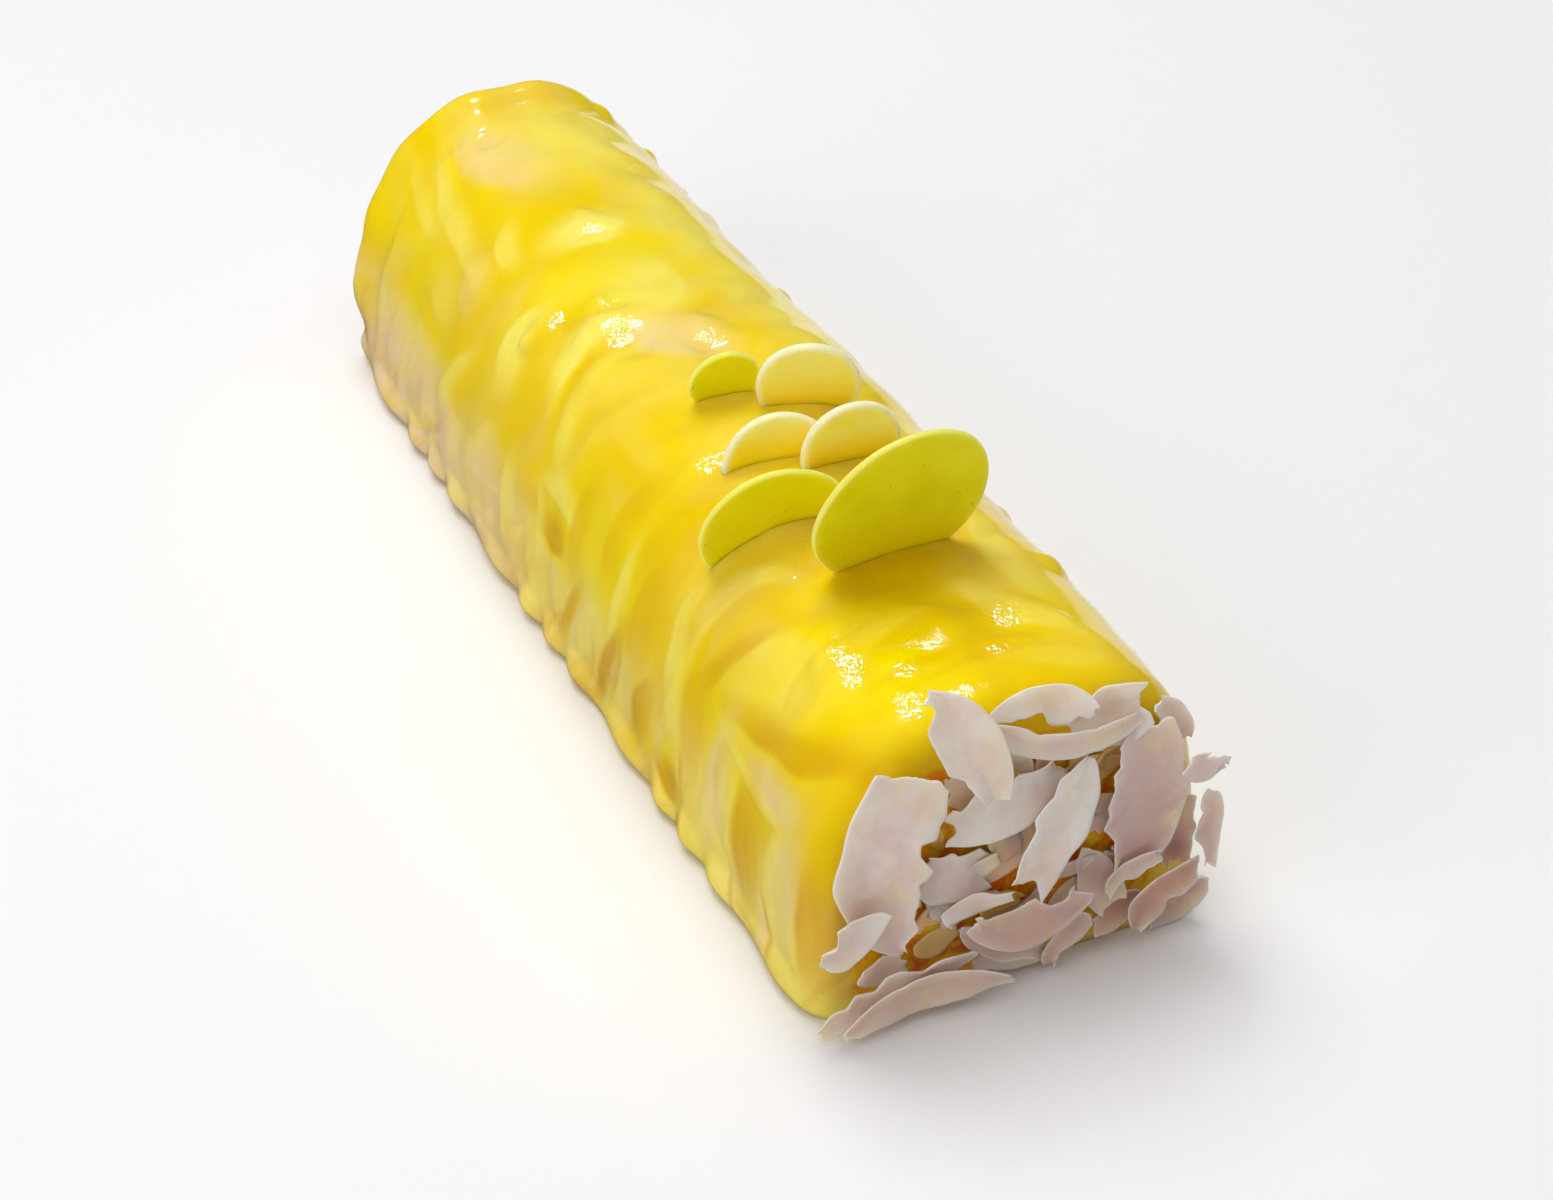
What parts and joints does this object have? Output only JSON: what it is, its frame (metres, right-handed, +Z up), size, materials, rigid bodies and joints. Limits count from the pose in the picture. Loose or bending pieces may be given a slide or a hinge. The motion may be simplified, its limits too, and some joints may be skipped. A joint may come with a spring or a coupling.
{
  "type": "log cake",
  "caption": "Round-topped log cake in marbled yellow and cream glaze, with chocolate discs standing in its top and coconut shavings over both ends.",
  "frame": {"origin": "on the ground under the middle of the log", "axes": "+X along the log to the end beyond the discs, +Z up"},
  "size_m": [0.2805, 0.086, 0.0924],
  "materials": {
    "glaze": "glossy mirror glaze, marbled yellow and cream",
    "green_chocolate": "satin",
    "white_chocolate": "satin",
    "coconut": "waxy satin"
  },
  "bodies": {
    "root": {"log": "glaze", "disc_green_large": "green_chocolate", "disc_green_left": "green_chocolate", "disc_green_small": "green_chocolate", "disc_white_right": "white_chocolate", "disc_white_left": "white_chocolate", "disc_white_back": "white_chocolate", "coconut_near_01": "coconut", "coconut_near_02": "coconut", "coconut_near_03": "coconut", "coconut_near_04": "coconut", "coconut_near_05": "coconut", "coconut_near_06": "coconut", "coconut_near_07": "coconut", "coconut_near_08": "coconut", "coconut_near_09": "coconut", "coconut_near_10": "coconut", "coconut_near_11": "coconut", "coconut_near_12": "coconut", "coconut_near_13": "coconut", "coconut_near_14": "coconut", "coconut_near_15": "coconut", "coconut_near_16": "coconut", "coconut_near_17": "coconut", "coconut_near_18": "coconut", "coconut_near_19": "coconut", "coconut_near_20": "coconut", "coconut_near_21": "coconut", "coconut_near_22": "coconut", "coconut_near_23": "coconut", "coconut_near_24": "coconut", "coconut_near_25": "coconut", "coconut_near_26": "coconut", "coconut_near_27": "coconut", "coconut_near_28": "coconut", "coconut_far_01": "coconut", "coconut_far_02": "coconut", "coconut_far_03": "coconut", "coconut_far_04": "coconut", "coconut_far_05": "coconut", "coconut_far_06": "coconut", "coconut_far_07": "coconut", "coconut_far_08": "coconut", "coconut_far_09": "coconut", "coconut_far_10": "coconut", "coconut_far_11": "coconut", "coconut_far_12": "coconut", "coconut_far_13": "coconut", "coconut_far_14": "coconut", "coconut_far_15": "coconut", "coconut_far_16": "coconut", "coconut_far_17": "coconut", "coconut_far_18": "coconut", "coconut_far_19": "coconut", "coconut_far_20": "coconut"}
  },
  "joints": []
}
